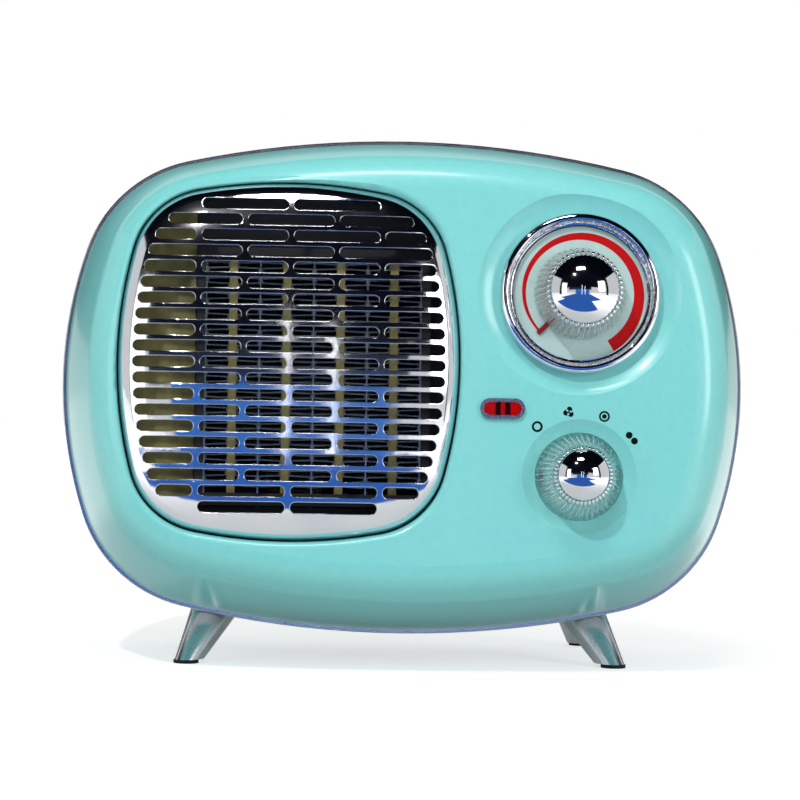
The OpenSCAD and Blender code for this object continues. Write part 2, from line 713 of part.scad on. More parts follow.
module fan_shroud() color("dimgray") at_core() difference() {
  union() {
    translate([-mount_w/2, -mount_h/2, plate_back])
      cube([mount_w, mount_h, core_back - cap_lip - seat - plate_back]);
    translate([0, 0, spider_back]) cylinder(r = ring_r + ring_t, h = plate_back - spider_back + bite);
    mount_points() translate([0, 0, plate_back]) cylinder(r = 3.6, h = duct_back - seat - plate_back);
  }
  translate([0, 0, spider_back + spider_t]) cylinder(r = ring_r, h = far);
  translate([0, 0, spider_back - bite]) difference() {
    cylinder(r = ring_r, h = spider_t + 2*bite);
    cylinder(r = hub_ring[1], h = far);
    for (a = [45, 135]) rotate(a) translate([-far/2, -4, 0]) cube([far, 8, far]);
  }
  translate([0, 0, spider_back - bite]) cylinder(r = hub_ring[0], h = far);
  for (s = [-1, 1]) translate([s*tie_x, 0, spider_back - bite]) cylinder(r = bolt_r + seat, h = far);
  mount_points() cylinder(r = screw_r, h = far);
}
// A blade is a slice of a wide thin tube that lies along the fan's radius.
blade_t = 1.5;
blade_r = 34;
module blade() intersection() {
  rotate([0, 90, 0]) rotate(90) rotate(90 - blade_pitch) translate([blade_r - 1, 0, hub_r - bite]) difference() {
    cylinder(r = blade_r, h = fan_d/2);
    translate([0, 0, -bite]) cylinder(r = blade_r - blade_t, h = fan_d);
  }
  translate([0, -15, -fan_depth/2]) cube([fan_d, 30, fan_depth]);
}
module fan_impeller() color("ivory") at_core(fan_back) difference() {
  union() {
    cylinder(r = hub_r, h = fan_depth);
    intersection() {
      cylinder(d = fan_d, h = fan_depth);
      for (i = [0:fan_blades - 1]) rotate(i*360/fan_blades) translate([0, 0, fan_depth/2]) blade();
    }
  }
  translate([0, 0, -bite]) cylinder(r = shaft_d/2 + running/2, h = far);
  translate([0, 0, -bite]) ring(hub_r - 2, shaft_d/2 + 3, fan_depth - 2 + bite);
}
module motor_shaft() color("silver") at_core(shaft_back)
  cylinder(d = shaft_d, h = shaft_front - shaft_back);
module motor_rotor() color("darkgray") at_core(stack_back - rotor_over)
  ring(rotor_d/2, shaft_d/2 + running/2, stack_t + 2*rotor_over);
bore_r = rotor_d/2 + air_gap;
yoke_low = -52;
yoke_high = -38;
coil_wall = 5;
module motor_stator() color("slategray") at_core(stack_back) linear_extrude(stack_t) difference() {
  translate([-stack_w/2, yoke_low]) square([stack_w, 24 - yoke_low]);
  circle(bore_r);
  translate([-stack_w/2 + 11, yoke_high]) square([stack_w - 22, 19]);
  for (s = [-1, 1]) translate([s*tie_x, 0]) circle(bolt_r + seat);
}
module motor_coil() color("peru") at_core() difference() {
  translate([-stack_w/2 + 12, yoke_low - 2*seat - coil_wall, stack_back - seat - coil_wall])
    cube([stack_w - 24, yoke_high - yoke_low + 4*seat + 2*coil_wall, stack_t + 2*seat + 2*coil_wall]);
  translate([-far/2, yoke_low - 2*seat, stack_back - seat])
    cube([far, yoke_high - yoke_low + 4*seat, stack_t + 2*seat]);
}
// Two strips across the stack, each with a boss for its bearing and feet on the stack
module motor_strip(foot) difference() {
  union() {
    translate([-stack_w/2 + 1, -8, 0]) cube([stack_w - 2, 16, strip_t]);
    translate([0, 0, -1]) cylinder(r = boss_r, h = bearing_l + 0.8);
    for (s = [-1, 1]) translate([s*tie_x, 0, -foot]) cylinder(r = 4, h = foot + bite);
  }
  translate([0, 0, -far/2]) cylinder(r = bearing_r + seat/2, h = far);
  for (s = [-1, 1]) translate([s*tie_x, 0, -far/2]) cylinder(r = bolt_r + seat, h = far);
}
module motor_brackets() color("lightsteelblue") {
  at_core(front_strip) motor_strip(front_strip - stack_front - seat);
  at_core(rear_strip + strip_t) mirror([0, 0, 1]) motor_strip(strip_t - seat);
}
module motor_bearings() color("darkgoldenrod") {
  at_core(front_strip - 0.5) ring(bearing_r, shaft_d/2 + running, bearing_l);
  at_core(rear_strip + strip_t + 0.5 - bearing_l) ring(bearing_r, shaft_d/2 + running, bearing_l);
}
module motor_screws() color("silver") at_core() for (s = [-1, 1]) translate([s*tie_x, 0, 0]) {
  translate([0, 0, rear_strip - 0.05]) cylinder(r = bolt_r, h = spider_back + spider_t + 1 - rear_strip);
  translate([0, 0, rear_strip - 2.1]) cylinder(r = 2.8, h = 2);
}

// ---------- thermostat ----------
plate_top = dish_floor + seat + plate_t;
knob_foot = plate_top + 1;
bezel_top = dish_floor + bezel_h;
module dial_bezel() color("silver") at_dial() rotate_extrude() {
  r = bezel_d/2;
  w = bezel_w;
  difference() {
    union() {
      translate([r - w, plate_top + seat]) square([w, bezel_top - 2 - plate_top - seat]);
      translate([r - w/2, dish_floor + seat]) square([w/2, bezel_h - 2 - seat]);
      translate([r - 2, bezel_top - 2]) circle(2);
      translate([r - w + 0.4, plate_top + seat]) square([w - 2.4, 1.6]);
    }
    // Groove between the outer bead and the inner step
    translate([r - w + 0.4, bezel_top - 0.6]) circle(1.7);
  }
}
module dial_plate() color("powderblue") at_dial(dish_floor + seat) difference() {
  cylinder(d = bezel_d - bezel_w - seat, h = plate_t);
  translate([0, 0, -bite]) cylinder(r = bush_r + seat, h = far);
}
flute_r = 0.9;
// A clear cone with a chamfered top; flutes run up its side and over the chamfer.
module fluted_knob(d, top, h, cap, flutes) {
  chamfer = (top - cap)/2 - 0.3;
  difference() {
    union() {
      cylinder(d1 = d, d2 = top, h = h - chamfer);
      translate([0, 0, h - chamfer]) cylinder(d1 = top, d2 = top - 2*chamfer, h = chamfer);
    }
    translate([0, 0, h - 2]) cylinder(d = cap + 2*seat, h = 2 + bite);
    for (i = [0:flutes - 1]) rotate(i*360/flutes) {
      between([d/2 + 0.3, 0, -0.5], [top/2 + 0.3, 0, h - chamfer], flute_r, flute_r);
      between([top/2 + 0.5, 0, h - chamfer - 0.4], [top/2 - chamfer + 0.1, 0, h + 0.3],
        0.75*flute_r, 0.6*flute_r);
    }
  }
}
stem_r = 3;
stem_flat = 2.2;
// A D-shaped stem and the hole that takes it
module stem(r, flat_at, h) intersection() {
  cylinder(r = r, h = h);
  translate([-2*r, -2*r, -bite]) cube([4*r, 2*r + flat_at, h + 2*bite]);
}
module thermostat_knob() color("lightcyan", 0.5) at_dial(knob_foot) difference() {
  fluted_knob(knob_d, knob_top_d, knob_h, cap_d, knob_flutes);
  translate([0, 0, -bite]) stem(stem_r + seat, stem_flat + seat, 11 + bite);
}
module thermostat_cap() color("silver") at_dial(knob_foot + knob_h) {
  translate([0, 0, -2 + seat]) cylinder(d = cap_d, h = 2 - seat);
  dome(cap_d, cap_h);
}
module thermostat_pointer() color("firebrick") at_dial(plate_top + 0.3) rotate(dial_start)
  difference() {
    translate([stem_r + 3, -pointer_w/2, 0]) cube([pointer_reach - stem_r - 3, pointer_w, 0.6]);
    translate([0, 0, -bite]) cylinder(r = stem_r + 4, h = 3);
  }
body_w = 24;
body_depth = 12;
module thermostat_shaft() color("silver") at_dial() {
  translate([0, 0, knob_foot - bite/2]) stem(stem_r, stem_flat, 11);
  translate([0, 0, dish_floor - wall - 8]) cylinder(r = stem_r, h = knob_foot - bite/2 - dish_floor + wall + 8);
}
ear_t = 1.4;
tab = [4.8, 0.8, 8];
// A control behind the panel: a body w square and d deep, ears for its two screws, a bush
// through the panel, and three push-on tabs at its back
module control_body(floor, w, d) {
  z = floor - wall - seat;
  difference() {
    union() {
      translate([0, 0, z - ear_t]) linear_extrude(ear_t)
        obround(2*(control_screw_x + 3*control_screw_r), 8*control_screw_r);
      translate([0, 0, z - ear_t]) cylinder(r = bush_r, h = ear_t + seat + wall);
      translate([-w/2, -w/2, z - ear_t - d]) cube([w, w, d + bite]);
      for (s = [-1, 0, 1]) translate([s*w/3 - tab[0]/2, tab[0]/2 - w/2, z - ear_t - d - tab[2]])
        cube([tab[0], tab[1], tab[2] + bite]);
    }
    translate([0, 0, z - 8]) cylinder(r = stem_r + running, h = far);
    for (s = [-1, 1]) translate([s*control_screw_x, 0, z - 12])
      cylinder(r = control_screw_r + seat/2, h = far);
  }
}
module thermostat_body() color("linen") at_dial() control_body(dish_floor, body_w, body_depth);

// ---------- mode switch ----------
mode_foot = well_floor + 0.4;
module mode_knob() color("lightcyan", 0.5) at_mode(mode_foot) difference() {
  fluted_knob(mode_d, mode_top_d, mode_h, mode_cap_d, knob_flutes);
  translate([0, 0, -bite]) stem(stem_r + seat, stem_flat + seat, 12 + bite);
}
module mode_cap() color("silver") at_mode(mode_foot + mode_h) {
  translate([0, 0, -2 + seat]) cylinder(d = mode_cap_d, h = 2 - seat);
  dome(mode_cap_d, mode_cap_h);
}
module switch_shaft() color("silver") at_mode() {
  translate([0, 0, mode_foot - 0.2]) stem(stem_r, stem_flat, 12);
  translate([0, 0, well_floor - wall - 8]) cylinder(r = stem_r, h = mode_foot - 0.2 - well_floor + wall + 8);
}
switch_w = 26;
switch_depth = 18;
module switch_body() color("linen") at_mode() control_body(well_floor, switch_w, switch_depth);
module control_screw() {
  translate([0, 0, -7]) cylinder(r = control_screw_r, h = 7 - 0.1);
  translate([0, 0, -1.6 + seat]) cylinder(r1 = control_screw_r, r2 = 2.8, h = 1.5);
}
module control_screws() color("silver") for (s = [-1, 1]) {
  at_dial(dish_floor) translate([s*control_screw_x, 0, 0]) control_screw();
  at_mode(well_floor) translate([s*control_screw_x, 0, 0]) control_screw();
}

// ---------- pilot lamp ----------
lamp_flange = 0.9;
lamp_deep = 9;
lens_wall = 0.6;
module lamp_bezel() color("silver") at_lamp() difference() {
  union() {
    translate([0, 0, front_depth + seat]) linear_extrude(1.3) obround(lamp_w, lamp_h);
    translate([0, 0, front_depth - lamp_deep]) linear_extrude(lamp_deep + bite)
      obround(lamp_w - 2*lamp_flange, lamp_h - 2*lamp_flange);
  }
  translate([0, 0, front_depth - far/2]) linear_extrude(far)
    obround(lamp_w - 2*lamp_flange - 2*lens_wall, lamp_h - 2*lamp_flange - 2*lens_wall);
}
lens_w = lamp_w - 2*lamp_flange - 2*lens_wall - 2*seat;
lens_h = lamp_h - 2*lamp_flange - 2*lens_wall - 2*seat;
module lamp_lens() color("red", 0.6) at_lamp(front_depth - lamp_deep + 1) difference() {
  linear_extrude(lamp_deep + 1) obround(lens_w, lens_h);
  translate([0, 0, -bite]) linear_extrude(lamp_deep + bite) obround(lens_w - 1.6, lens_h - 1.6);
}
bulb_w = lens_w - 1.8;
bulb_h = lens_h - 1.8;
bulb_z = front_depth - lamp_deep - 4;
module neon_lamp() color("lavender", 0.4) at_lamp(bulb_z) difference() {
  linear_extrude(lamp_deep + 3.5) obround(bulb_w, bulb_h);
  translate([0, 0, -bite]) linear_extrude(lamp_deep + 3.8) obround(bulb_w - 1, bulb_h - 1);
}
module lamp_electrodes() color("black") at_lamp(bulb_z) {
  for (s = [-1, 1]) translate([s*2 - 1, -bulb_h/2 + 0.7, -4]) cube([2, bulb_h - 1.4, lamp_deep + 5]);
  translate([-bulb_w/2 - 1, -bulb_h/2, -2.1]) difference() {
    cube([bulb_w + 2, bulb_h, 2]);
    for (s = [-1, 1]) translate([bulb_w/2 + 1 + s*2 - 1.05, 0.65, -bite]) cube([2.1, bulb_h - 1.3, 4]);
  }
}

// ---------- legs ----------
// Leg roots lie on the rear shell's underside, square to it.
function leg_behind(front) = front > 0 ? leg_front : leg_rear;
function root_skin(front) = skin(rear_depth, rear_edge_r, leg_behind(front));
function root(sx, front) = [sx*leg_x, -top_at(case_o, root_skin(front), leg_x), -leg_behind(front)];
function foot(sx, front) = [sx*(front > 0 ? foot_x : rear_foot_x),
  posed(root(sx, front))[1] - (front > 0 ? step_front : -step_rear), 0];
// Frame of a root: z points out of the case
module at_root(sx, front) in_case() translate(root(sx, front)) rotate([90, 0, 0])
  rotate([0, sx*asin(leg_x/(top_r - root_skin(front))), 0])
  rotate([skin_slope(rear_depth, rear_edge_r, leg_behind(front)), 0, 0]) children();
leg_screw_r = 2;
leg_hole_l = 6;
module leg_hole(sx, front) at_root(sx, front)
  translate([0, 0, -wall - bite]) cylinder(r = leg_screw_r + 0.2, h = wall + 2*bite);
module leg(sx, front) difference() {
  f = foot(sx, front);
  p = posed(root(sx, front));
  over = (p - f)*0.6;
  slope = (leg_top_d - leg_foot_d)/2;
  between(f - over, p + over, leg_foot_d/2 - 0.6*slope, leg_top_d/2 + 0.6*slope);
  at_root(sx, front) translate([-far/2, -far/2, seat - far]) cube([far, far, far]);
  translate([-far/2, -far/2, -far + pad_t]) cube([far, far, far]);
  at_root(sx, front) translate([0, 0, -bite]) cylinder(r = leg_screw_r + seat/2, h = leg_hole_l + bite);
  translate([f[0], f[1], 0]) cylinder(r = spigot_r + seat, h = pad_t + spigot_h + seat);
}
spigot_r = 2;
spigot_h = 3;
module pad(sx, front) translate([foot(sx, front)[0], foot(sx, front)[1], 0]) {
  cylinder(d = pad_d, h = pad_t - seat/2);
  cylinder(r = spigot_r, h = pad_t + spigot_h);
}
module leg_front_left() color("silver") leg(-1, 1);
module leg_front_right() color("silver") leg(1, 1);
module leg_rear_left() color("silver") leg(-1, -1);
module leg_rear_right() color("silver") leg(1, -1);
module pad_front_left() color("black") pad(-1, 1);
module pad_front_right() color("black") pad(1, 1);
module pad_rear_left() color("black") pad(-1, -1);
module pad_rear_right() color("black") pad(1, -1);
// Each leg is held by a screw from inside, with its head on the shell's wall.
module leg_screws() color("silver") for (sx = [-1, 1], front = [-1, 1]) at_root(sx, front) {
  translate([0, 0, -wall - 2]) cylinder(r = leg_screw_r, h = wall + 1 + leg_hole_l);
  translate([0, 0, -wall - 2.6 - seat]) cylinder(r = 3.6, h = 2.4);
}

// ---------- fastenings, mains inlet ----------
module case_screws() color("silver") in_back() for (p = posts) translate(p) {
  translate([0, 0, -20]) cylinder(r = screw_r - 0.35, h = 20 + screw_seat + 1);
  translate([0, 0, screw_seat + seat]) cylinder(r = 3.4, h = 2.4);
}
module duct_screws() color("silver") {
  at_outlet() for (p = duct_ears) translate(p) {
    translate([0, 0, lip_back - seat - floor_t - 1]) cylinder(r = screw_r - 0.45, h = 7);
    translate([0, 0, lip_back - 2*seat - floor_t - 2]) cylinder(r = 3, h = 2);
  }
  at_core() mount_points() {
    translate([0, 0, plate_back - 1]) cylinder(r = screw_r - 0.45, h = duct_back + 1.6 - plate_back + 1);
    translate([0, 0, plate_back - seat - 2]) cylinder(r = 3, h = 2);
  }
}
cord_r = 3.9;
module cord_gland() color("black") in_back() translate(gland_at) difference() {
  union() {
    translate([0, 0, rear_depth + seat]) cylinder(r = gland_r + 2.5, h = 2);
    translate([0, 0, rear_depth - wall - 4]) cylinder(r = gland_r, h = wall + 4 + bite);
    translate([0, 0, rear_depth - wall - seat - 2]) cylinder(r = gland_r + 1.2, h = 2);
  }
  cylinder(r = cord_r, h = far);
}
// Three poles, each with a hole for its two wires and a screw for each wire
block = [34, 16, 14];
pole_r = 2;
module terminal_block() color("whitesmoke") in_back(rear_depth - wall - seat - block[2])
  translate([gland_at[0] - block[0], gland_at[1], 0]) difference() {
    translate([-block[0]/2, -block[1]/2, 0]) cube(block);
    for (s = [-1, 0, 1]) translate([s*block[0]/3, 0, 0]) {
      translate([0, -block[1]/2 - bite, 3*pole_r]) rotate([-90, 0, 0])
        cylinder(r = pole_r, h = block[1] + 2*bite);
      for (t = [-1, 1]) translate([0, t*block[1]/4, -bite]) cylinder(r = pole_r, h = 2.5*pole_r);
    }
  }

// The case's middle is set so that knobs and back reach equally far from the origin.
front_reach = max(
  ahead(knob_foot + knob_h + cap_h - dome_r(cap_d, cap_h), dial_y, dome_r(cap_d, cap_h)),
  ahead(mode_foot + mode_h + mode_cap_h - dome_r(mode_cap_d, mode_cap_h), mode_y,
    dome_r(mode_cap_d, mode_cap_h)));
back_reach = (rear_depth - rear_edge_r)*cos(lean) + rear_edge_r + sin(lean)*(case_h/2
  - level_at(band_proud, half_band, rear_depth, flank_r, rear_edge_r, flank_meet));
mid_y = (front_reach - back_reach)/2;

front_shell();
rear_shell();
intake_filter();
trim_band();
outlet_grille();
air_duct();
mica_panel();
ptc_frame();
ptc_bars();
ptc_fins();
ptc_contacts();
thermal_cutout();
thermal_fuse();
fan_shroud();
fan_impeller();
motor_shaft();
motor_rotor();
motor_stator();
motor_coil();
motor_brackets();
motor_bearings();
motor_screws();
dial_bezel();
dial_plate();
thermostat_knob();
thermostat_cap();
thermostat_pointer();
thermostat_shaft();
thermostat_body();
mode_knob();
mode_cap();
switch_shaft();
switch_body();
control_screws();
lamp_bezel();
lamp_lens();
neon_lamp();
lamp_electrodes();
leg_front_left();
leg_front_right();
leg_rear_left();
leg_rear_right();
pad_front_left();
pad_front_right();
pad_rear_left();
pad_rear_right();
leg_screws();
case_screws();
duct_screws();
cord_gland();
terminal_block();
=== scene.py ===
import json
import math
import bmesh
import bpy
from mathutils import Matrix, Vector


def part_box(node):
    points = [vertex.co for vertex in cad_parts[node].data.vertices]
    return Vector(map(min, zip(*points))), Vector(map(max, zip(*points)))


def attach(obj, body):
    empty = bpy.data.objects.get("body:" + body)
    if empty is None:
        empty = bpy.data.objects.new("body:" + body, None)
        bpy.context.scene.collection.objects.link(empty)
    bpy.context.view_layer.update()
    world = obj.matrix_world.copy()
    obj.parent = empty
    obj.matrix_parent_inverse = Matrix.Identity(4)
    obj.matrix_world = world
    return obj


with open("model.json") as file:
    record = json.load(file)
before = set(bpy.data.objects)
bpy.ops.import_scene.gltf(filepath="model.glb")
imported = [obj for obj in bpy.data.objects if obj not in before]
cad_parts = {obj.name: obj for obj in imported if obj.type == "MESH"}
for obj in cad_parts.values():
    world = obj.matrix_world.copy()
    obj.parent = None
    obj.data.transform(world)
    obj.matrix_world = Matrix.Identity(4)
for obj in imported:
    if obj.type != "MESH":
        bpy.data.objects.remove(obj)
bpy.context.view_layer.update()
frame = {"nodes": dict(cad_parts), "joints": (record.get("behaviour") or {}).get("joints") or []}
nodes = frame["nodes"]

# ---------------------------------------------------------------------------
# Camera: stands a little left of the heater and just above its middle, about
# 1.2 m away, with a long lens.
# ---------------------------------------------------------------------------
long_lens = bpy.data.cameras.new("long_lens")
long_lens.sensor_width = 36
long_lens.lens = 126.4005
long_lens.clip_start = 0.1
long_lens.clip_end = 20
camera = bpy.data.objects.new("camera", long_lens)
swing, tip, roll = -0.0554, -0.0134, -0.0176
turned = (Matrix.Rotation(swing, 4, "Z") @ Matrix.Rotation(tip, 4, "X")
          @ Matrix.Rotation(roll, 4, "Y") @ Matrix.Rotation(math.pi/2, 4, "X"))
camera.matrix_world = Matrix.Translation((-0.0680, -1.2069, 0.1283)) @ turned
bpy.context.scene.collection.objects.link(camera)
bpy.context.scene.camera = camera


# ---------------------------------------------------------------------------
# Studio: white paper under and behind the heater, soft boxes, and dark and blue
# cloths that give the plated parts something to mirror.
# ---------------------------------------------------------------------------
def linear(code):
    """An sRGB hex colour as linear red, green, blue and alpha."""
    part = [int(code[i:i + 2], 16)/255 for i in (0, 2, 4)]
    return tuple(c/12.92 if c <= 0.04045 else ((c + 0.055)/1.055)**2.4 for c in part) + (1,)


def add(tree, kind, sockets=None, **settings):
    """Adds a node. A socket takes a number, a colour, or the output that feeds it."""
    made = tree.nodes.new(kind)
    for name, value in settings.items():
        setattr(made, name, value)
    for name, value in (sockets or {}).items():
        if isinstance(value, bpy.types.NodeSocket):
            tree.links.new(value, made.inputs[name])
        else:
            made.inputs[name].default_value = value
    return made


def blank(name):
    """A new material with nothing in it."""
    made = bpy.data.materials.new(name)
    made.use_nodes = True
    made.node_tree.nodes.clear()
    return made, made.node_tree


def seen_plainly(tree, way):
    """1 for what is seen straight or through glass, and 0 for the rest."""
    rays = {0: way.outputs["Is Camera Ray"], 1: way.outputs["Is Transmission Ray"]}
    return add(tree, "ShaderNodeMath", rays, operation="MAXIMUM").outputs[0]


# Paper: lit as matt white, so that it keeps the heater's shadow. Seen straight or through glass
# it also glows, up to plain white 0.6 m away. In gloss its glow starts low, because the paper
# that the chrome mirrors beside the heater lies in shade.
paper, tree = blank("white_studio_paper")
way = add(tree, "ShaderNodeLightPath")
place = add(tree, "ShaderNodeTexCoord")
away = add(tree, "ShaderNodeVectorMath", {0: place.outputs["Object"]}, operation="LENGTH")
plain = add(tree, "ShaderNodeMapRange",
            {"Value": away.outputs["Value"], "From Min": 0.15, "From Max": 0.6,
             "To Min": 0.62, "To Max": 1.0}, interpolation_type="SMOOTHSTEP")
plain = add(tree, "ShaderNodeMath", {0: plain.outputs[0], 1: seen_plainly(tree, way)},
            operation="MULTIPLY")
glossy = add(tree, "ShaderNodeMapRange",
             {"Value": away.outputs["Value"], "From Min": 0.16, "From Max": 0.4,
              "To Min": 0.12, "To Max": 0.9}, interpolation_type="SMOOTHSTEP")
glossy = add(tree, "ShaderNodeMath", {0: glossy.outputs[0], 1: way.outputs["Is Glossy Ray"]},
             operation="MULTIPLY")
glow = add(tree, "ShaderNodeMath", {0: plain.outputs[0], 1: glossy.outputs[0]}, operation="ADD")
matte = add(tree, "ShaderNodeBsdfDiffuse", {"Color": linear("D2D2D2")})
shine = add(tree, "ShaderNodeEmission", {"Strength": glow.outputs[0]})
both = add(tree, "ShaderNodeAddShader", {0: matte.outputs[0], 1: shine.outputs[0]})
add(tree, "ShaderNodeOutputMaterial", {"Surface": both.outputs[0]})


def card(name, material, corners):
    """A flat sheet of the studio, from its corners in metres."""
    sheet = bpy.data.meshes.new(name)
    sheet.from_pydata(corners, [], [range(len(corners))])
    sheet.materials.append(material)
    made = bpy.data.objects.new(name, sheet)
    bpy.context.scene.collection.objects.link(made)
    return made


floor_reach = 4
card("floor", paper, [(-floor_reach, -floor_reach, 0), (floor_reach, -floor_reach, 0),
                      (floor_reach, floor_reach, 0), (-floor_reach, floor_reach, 0)])

# Room: plain white where it is seen, light grey in gloss, and dimmer as a source of light.
room = bpy.data.worlds.new("studio")
room.use_nodes = True
tree = room.node_tree
tree.nodes.clear()
way = add(tree, "ShaderNodeLightPath")
level = add(tree, "ShaderNodeMapRange",
            {"Value": way.outputs["Is Glossy Ray"], "To Min": 0.46, "To Max": 0.75})
dim = add(tree, "ShaderNodeBackground", {"Color": (1, 1, 1, 1), "Strength": level.outputs[0]})
white = add(tree, "ShaderNodeBackground", {"Color": (1, 1, 1, 1), "Strength": 1.0})
both = add(tree, "ShaderNodeMixShader",
           {0: seen_plainly(tree, way), 1: dim.outputs[0], 2: white.outputs[0]})
add(tree, "ShaderNodeOutputWorld", {"Surface": both.outputs[0]})
bpy.context.scene.world = room
bpy.context.scene.view_settings.view_transform = "Standard"


def soft_box(name, power, place, at, wide, high):
    """A lamp of so many watts at a place, facing a point, with its size in metres."""
    made = bpy.data.lights.new(name, "AREA")
    made.shape = "RECTANGLE"
    made.energy = power
    made.size = wide
    made.size_y = high
    lamp = bpy.data.objects.new(name, made)
    lamp.location = place
    lamp.rotation_euler = (Vector(at) - Vector(place)).to_track_quat("-Z", "Y").to_euler()
    bpy.context.scene.collection.objects.link(lamp)


# A key above, a fill on each side, a small bare lamp that sharpens the glints and shadows, and
# two narrow tubes that draw bright lines down the grille.
soft_box("key_above", 3.3, (-0.05, -0.62, 1.15), (0, 0, 0.12), 0.36, 0.14)
soft_box("fill_right", 4.0, (0.95, -0.95, 0.45), (0, 0, 0.12), 0.35, 0.5)
soft_box("bare_lamp", 5.0, (-0.35, -0.80, 0.95), (-0.04, 0, 0.12), 0.03, 0.03)
soft_box("tube_left", 0.06, (-0.045, -1.26, 0.26), (-0.04, 0, 0.12), 0.010, 0.46)
soft_box("tube_right", 0.06, (0.105, -1.26, 0.24), (-0.04, 0, 0.12), 0.010, 0.42)
soft_box("fill_left", 1.2, (-1.0, -0.95, 0.35), (0, 0, 0.10), 0.3, 0.6)


def only_mirrored(sheet):
    """A cloth is there for what the chrome mirrors. Nothing else sees it."""
    sheet.visible_camera = sheet.visible_diffuse = False
    sheet.visible_shadow = sheet.visible_transmission = False


# Cloths: none is lit; each glows in its own colour, as painted light that only gloss sees.
# Each has a colour, a left and a right edge, and hangs between an upper and a lower line
# across the room. A line is given by its place along Y and its height.
cloths = (("ceiling", "06080F", -2.2, 2.2, (1.4, 1.5), (-1.3, 1.5)),
          ("far_wall", "0A0D18", -2.2, 2.2, (-1.3, 1.5), (-2.2, 0.62)),
          ("low_wall", "242A36", -1.6, 0.75, (-2.2, 0.62), (-2.2, 0.36)),
          ("blue_panel", "3D74C8", -0.75, 0.55, (-2.19, 0.40), (-2.1, 0.02)),
          ("blue_sheet", "3466BC", -0.55, 0.42, (-2.1, 0.03), (-0.42, 0.006)),
          ("near_sheet", "3466BC", -0.34, 0.20, (-0.42, 0.006), (-0.20, 0.004)),
          ("backcloth", "12161E", -2.2, 2.2, (1.6, 0.9), (1.6, 0.25)))
for name, colour, left, right, upper, lower in cloths:
    cloth, tree = blank(name + "_cloth")
    matte = add(tree, "ShaderNodeEmission", {"Color": linear(colour), "Strength": 1.0})
    add(tree, "ShaderNodeOutputMaterial", {"Surface": matte.outputs[0]})
    only_mirrored(card(name, cloth, [(left, *upper), (right, *upper),
                                     (right, *lower), (left, *lower)]))

# Flags: a dark board on each side, 1.3 m high and splayed outwards to the front, glowing faintly
# in the far wall's colour as painted light.
for name, x in (("flag_left", -1.25), ("flag_right", 1.45)):
    rear, front, top = (x, -0.75), (x*1.05, -1.0), 1.3
    only_mirrored(card(name, bpy.data.materials["far_wall_cloth"],
                       [(*rear, 0), (*rear, top), (*front, top), (*front, 0)]))


# ---------------------------------------------------------------------------
# Case: two ABS mouldings in pale turquoise, sprayed and lacquered. They clamp the plated
# band between them, held by six screws from behind.
# ---------------------------------------------------------------------------
def surface(name, main, other, grain, rough, relief, **sockets):
    """
    A solid material. Its colour wanders between two, its roughness in a range, and its relief
    is in millimetres, all in grains of one size in millimetres.
    """
    made, tree = blank(name)
    place = add(tree, "ShaderNodeTexCoord")
    # The cloud seldom leaves the range of 0.3 to 0.7, so that range is spread out to 0 to 1.
    cloud = add(tree, "ShaderNodeTexNoise",
                {"Vector": place.outputs["Object"], "Scale": 1000/grain, "Detail": 4.0})
    shade = add(tree, "ShaderNodeMapRange",
                {"Value": cloud.outputs["Fac"], "From Min": 0.3, "From Max": 0.7})
    colour = add(tree, "ShaderNodeMix",
                 {"Factor": shade.outputs[0], 6: linear(main), 7: linear(other)}, data_type="RGBA")
    gloss = add(tree, "ShaderNodeMapRange",
                {"Value": shade.outputs[0], "To Min": rough[0], "To Max": rough[1]})
    bump = add(tree, "ShaderNodeBump", {"Height": cloud.outputs["Fac"], "Distance": relief/1000})
    skin = add(tree, "ShaderNodeBsdfPrincipled",
               {"Base Color": colour.outputs[2], "Roughness": gloss.outputs[0],
                "Normal": bump.outputs[0]})
    for socket, value in sockets.items():
        skin.inputs[socket.replace("_", " ")].default_value = value
    add(tree, "ShaderNodeOutputMaterial", {"Surface": skin.outputs[0]})
    return made


def dress(material, *names):
    """Gives a material to nodes of the frame."""
    for name in names:
        mesh = nodes[name].data
        for i in range(len(mesh.materials)):
            mesh.materials[i] = material


# Lacquered ABS: an even colour with a faint orange peel about 3 mm across.
lacquered_abs = surface("lacquered_turquoise_abs", "7BCFCE", "7FD3D1", 3.0, (0.30, 0.36), 0.02,
                        IOR=1.5, Coat_Weight=0.45, Coat_Roughness=0.12)
dress(lacquered_abs, "front_shell", "rear_shell")

# Chrome on a rolled band: it mirrors softly, with nearly no ripple.
band_chrome = surface("rolled_chrome_band", "D8DADE", "CACDD2", 10.0, (0.22, 0.28), 0.008,
                      Metallic=1.0)
dress(band_chrome, "trim_band")


# ---------------------------------------------------------------------------
# Behind the rear shell's slots: a black nylon dust net. Below it, the cord gland and the
# terminal block of the mains supply, both nylon mouldings.
# ---------------------------------------------------------------------------
def shader(material):
    """A material's tree, its main shader, and what feeds that shader's colour and normal."""
    tree = material.node_tree
    skin = next(n for n in tree.nodes if n.type == "BSDF_PRINCIPLED")
    colour, normal = (skin.inputs[name].links[0].from_socket for name in ("Base Color", "Normal"))
    return tree, skin, colour, normal


